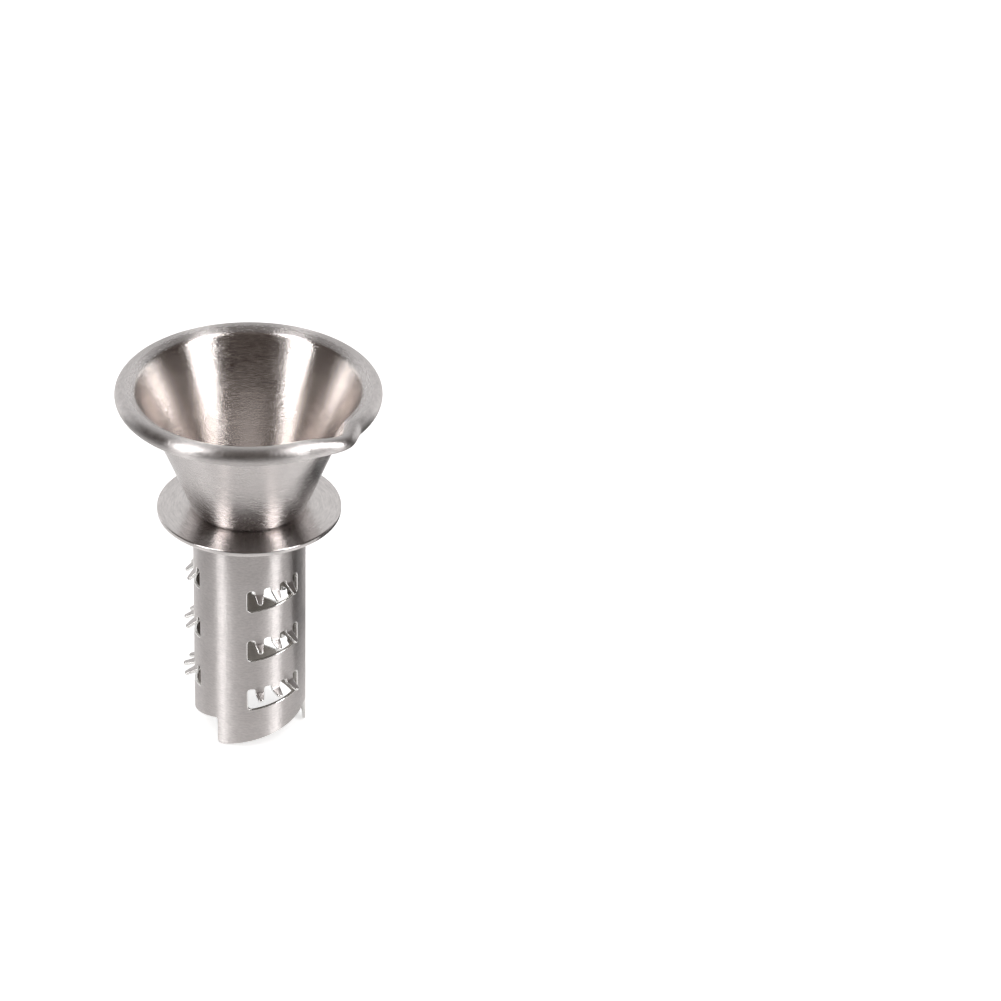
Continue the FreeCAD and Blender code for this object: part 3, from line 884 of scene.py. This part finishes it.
# The floor's paper. Its own light is one value in view and another in mirrors; near the part only
# a share of the second is left, which grows to all of it between two distances.
PAPER_TONE = (0.915, 0.935)
PAPER_GRAIN = 60.0
PAPER_ROUGHNESS = 0.9
PAPER_GLOSS = 0.1
PAPER_HALF = 4.0
VIEW_LIFT = 0.6
FLOOR_LIFT = 0.53
NEAR_LIFT = 0.42
LIFT_REACH = (0.15, 0.6)

# Dark cards on the floor: name, azimuths, distances and shade.
FRONT_FLAG = ("front_flag", (-120, 120), (0.14, 1.6), 0.1)
SIDE_FLAG = ("side_flag", (88, 148), (0.036, 0.14), 0.12)
CARD_LEVEL = 0.001
CARD_STEP = 10
CARD_GRAIN = 80.0
CARD_UNEVENNESS = 1.2

# Glows on the room's walls: azimuth, elevation, and the angles from there at which the light is
# last full and at which it ends.
CEILING_GLOW = (0, 90, 5, 75)
CEILING = 0.15
WALL_GLOW = (180, 18, 28, 68)
WALL = 0.76
SIDE_GLOWS = ((-120, 4, 8, 26), (120, 4, 8, 26))
SIDE_WALL = 0.9
# The dark room's own light and tint, and the brightness from which a wall shows none of the tint.
ROOM = 0.05
ROOM_TINT = (1.0, 0.8, 0.7, 1.0)
UNTINTED = 0.3

# Two equal strip lamps.
STRIP = {"elevation": 35, "distance": 1.1, "width": 0.31, "height": 1.3}


def stage_piece(name, points, faces, material):
    """A level surface of the studio."""
    mesh = bpy.data.meshes.new(name)
    mesh.from_pydata(points, [], faces)
    mesh.materials.append(material)
    surface = bpy.data.objects.new(name, mesh)
    bpy.context.scene.collection.objects.link(surface)
    return surface


def floor():
    """A wide white floor. Part of its light is its own, so that it stays white under soft lamps."""
    nodes = MaterialNodes("floor_paper")
    place = nodes.place()
    tint = nodes.add("ShaderNodeCombineColor")
    tone = nodes.spread(nodes.noise(place, PAPER_GRAIN, detail=3.0), *PAPER_TONE)
    for socket in tint.inputs:
        nodes.feed(socket, tone)
    nodes.feed(nodes.shader.inputs["Base Color"], tint.outputs[0])
    nodes.shader.inputs["Roughness"].default_value = PAPER_ROUGHNESS
    nodes.shader.inputs["Specular IOR Level"].default_value = PAPER_GLOSS
    nodes.shader.inputs["Emission Color"].default_value = (1, 1, 1, 1)
    rays = nodes.add("ShaderNodeLightPath").outputs
    mirrored = nodes.math("MAXIMUM", rays["Is Glossy Ray"], rays["Is Transmission Ray"])
    away = nodes.add("ShaderNodeVectorMath", operation="LENGTH")
    nodes.feed(away.inputs[0], place)
    share = nodes.spread(away.outputs["Value"], NEAR_LIFT, 1.0, *LIFT_REACH)
    in_mirrors = nodes.math("MULTIPLY", nodes.math("MULTIPLY", mirrored, share), FLOOR_LIFT)
    in_view = nodes.math("MULTIPLY", rays["Is Camera Ray"], VIEW_LIFT)
    nodes.feed(nodes.shader.inputs["Emission Strength"], nodes.math("MAXIMUM", in_view, in_mirrors))
    half = PAPER_HALF
    corners = [(-half, -half, 0), (half, -half, 0), (half, half, 0), (-half, half, 0)]
    stage_piece("floor", corners, [(0, 1, 2, 3)], nodes.material)


def flag(name, azimuths, reaches, shade):
    """A dark card that lies round a side of the part, out of view, and darkens reflections."""
    nodes = MaterialNodes(name + "_card")
    tone = nodes.spread(nodes.noise(nodes.place(), CARD_GRAIN), shade, CARD_UNEVENNESS * shade)
    nodes.feed(nodes.shader.inputs["Base Color"], tone)
    nodes.shader.inputs["Roughness"].default_value = PAPER_ROUGHNESS
    points, faces = [], []
    first, last = azimuths
    for step, azimuth in enumerate(range(first, last + 1, CARD_STEP)):
        turn = math.radians(azimuth)
        points += [(reach * math.sin(turn), -reach * math.cos(turn), CARD_LEVEL) for reach in reaches]
        if step:
            faces.append((2 * step - 2, 2 * step - 1, 2 * step + 1, 2 * step))
    card = stage_piece(name, points, faces, nodes.material)
    card.visible_camera = False
    card.visible_diffuse = False
    card.visible_shadow = False


def direction(azimuth, elevation):
    """A unit vector from the part towards a place in the studio."""
    turn, rise = math.radians(azimuth), math.radians(elevation)
    return Vector((math.sin(turn) * math.cos(rise), -math.cos(turn) * math.cos(rise), math.sin(rise)))


def softbox(name, azimuth, elevation, distance, width, height, brightness):
    """An area lamp that looks at the middle of the part, by how bright its face is."""
    data = bpy.data.lights.new(name, "AREA")
    data.shape = "RECTANGLE"
    data.size = width
    data.size_y = height
    data.energy = 4 * width * height * brightness
    lamp = bpy.data.objects.new(name, data)
    bpy.context.scene.collection.objects.link(lamp)
    way = direction(azimuth, elevation)
    lamp.location = Vector((0, 0, DISC_LEVEL * MM)) + way * distance
    lamp.rotation_euler = way.to_track_quat("Z", "Y").to_euler()
    lamp.visible_camera = False


class WorldNodes(Nodes):
    """The node tree of a new world."""

    def __init__(self, name):
        self.world = bpy.data.worlds.new(name)
        super().__init__(self.world)
        self.background = self.tree.nodes["Background"]
        self.way = self.add("ShaderNodeTexCoord").outputs["Generated"]

    def glow(self, azimuth, elevation, full, none, brightness):
        """Light round a direction: full within one angle of it, none beyond another."""
        towards = self.add("ShaderNodeVectorMath", operation="DOT_PRODUCT")
        self.feed(towards.inputs[0], self.way)
        towards.inputs[1].default_value = direction(azimuth, elevation)
        angle = self.math("MULTIPLY", self.math("ARCCOSINE", towards.outputs["Value"]), 180 / math.pi)
        return self.spread(angle, brightness, 0.0, full, none, interpolation_type="SMOOTHSTEP")


def dome():
    """The studio round the part: dark behind the camera, a soft ceiling, light walls behind the part
    and low down at both its sides."""
    nodes = WorldNodes("studio")
    ceiling = nodes.glow(*CEILING_GLOW, CEILING)
    wall = nodes.glow(*WALL_GLOW, WALL)
    light = nodes.math("ADD", nodes.math("ADD", ceiling, wall), ROOM)
    for side in SIDE_GLOWS:
        light = nodes.math("ADD", light, nodes.glow(*side, SIDE_WALL))
    in_view = nodes.add("ShaderNodeLightPath").outputs["Is Camera Ray"]
    seen = nodes.add("ShaderNodeMix")
    nodes.feed(seen.inputs["Factor"], in_view)
    nodes.feed(seen.inputs["A"], light)
    seen.inputs["B"].default_value = 1.0
    nodes.feed(nodes.background.inputs["Strength"], seen.outputs["Result"])
    # The dark parts of the room are a little warmer than its lit walls.
    lit = nodes.spread(light, 0.0, 1.0, ROOM, UNTINTED)
    tint = nodes.add("ShaderNodeMix", data_type="RGBA")
    factor, first, second = tint.inputs[0], tint.inputs[6], tint.inputs[7]
    nodes.feed(factor, nodes.math("MAXIMUM", lit, in_view))
    nodes.feed(first, ROOM_TINT)
    nodes.feed(second, (1, 1, 1, 1))
    nodes.feed(nodes.background.inputs["Color"], tint.outputs[2])
    bpy.context.scene.world = nodes.world


# The part

STEEL = (0.66, 0.626, 0.615)
# The bowl is given lighter, warmer steel than the outside: painted light and a painted warm reflection.
BOWL_STEEL_PAINTED_LIGHT = (0.73, 0.68, 0.655)
# The tube's inside is given darker steel than its outside: painted shade inside the tube.
INNER_STEEL_PAINTED_SHADE = (0.46, 0.43, 0.40)
# The cut edges and welds are given lighter steel than the faces: a painted highlight.
EDGE_STEEL_PAINTED_HIGHLIGHT = (0.8, 0.79, 0.77)
# The rim is rougher than the funnel's other faces: how much, and the radii where that sets in.
RIM_SATIN = (0.1, 22.3, 23.2)
funnel_steel = turned_steel("funnel_brushed_steel", STEEL, roughness=0.23, grain=4.0, grain_run=1.2,
                            satin=RIM_SATIN)
bowl_steel_painted_light = turned_steel("funnel_bowl_steel", BOWL_STEEL_PAINTED_LIGHT, roughness=0.17, grain=4.0, grain_run=1.2)
tube_steel = turned_steel("tube_brushed_steel", STEEL, roughness=0.36, grain=5.0, grain_run=0.8)
bore_steel_painted_shade = turned_steel("tube_bore_steel", INNER_STEEL_PAINTED_SHADE, roughness=0.42, grain=5.0, grain_run=0.8,
                          anisotropy=0.9, patches=0.05)
disc_steel = turned_steel("disc_rolled_steel", STEEL, roughness=0.2, grain=3.0, grain_run=2.0,
                          grain_depth=0.002)
edge_steel_painted_highlight = polished_edge_painted_highlight("cut_edge_steel", EDGE_STEEL_PAINTED_HIGHLIGHT, roughness=0.15)

lip_start = LIP_AZIMUTH - LIP_FRONT_ANGLE
lip_end = LIP_AZIMUTH + LIP_SIDE_ANGLE
funnel_turns = np.concatenate([np.arange(lip_start, lip_end, LIP_STEP),
                               np.arange(lip_end, lip_start + 360, TURN_STEP)])
funnel = turned("funnel_cup_spun", funnel_section, funnel_turns, material=funnel_steel,
                slot="funnel_steel", replaces="funnel_cup")
section_size = len(funnel_section(0))
# The bowl's faces take the lighter, warmer steel: painted light and a painted warm reflection.
paint(funnel, bowl_steel_painted_light, [face for face in range(len(funnel.data.polygons))
                           if face % section_size < BOWL_POINTS])

turned("stop_disc_rolled", disc_section, np.arange(0, 360, TURN_STEP), material=disc_steel,
       slot="disc_steel", replaces="stop_disc")

tube, wall_faces = cutter_tube(tube_steel)
# The cut edges take the lighter steel, a painted highlight.
paint(tube, edge_steel_painted_highlight, range(wall_faces, len(tube.data.polygons)))
# The inner faces take the darker steel, painted shade.
paint(tube, bore_steel_painted_shade, range(wall_faces // 2, wall_faces))

# The welds take the same lighter steel, with its painted highlight.
for node in ("throat_weld", "collar_weld"):
    mesh = frame["nodes"][node].data
    mesh.materials.clear()
    mesh.materials.append(edge_steel_painted_highlight)

camera()
floor()
flag(*FRONT_FLAG)
flag(*SIDE_FLAG)
dome()
softbox("right_strip", azimuth=52.5, brightness=4.7, **STRIP)
softbox("left_strip", azimuth=-57, brightness=4.3, **STRIP)
bpy.context.scene.view_settings.view_transform = "Standard"
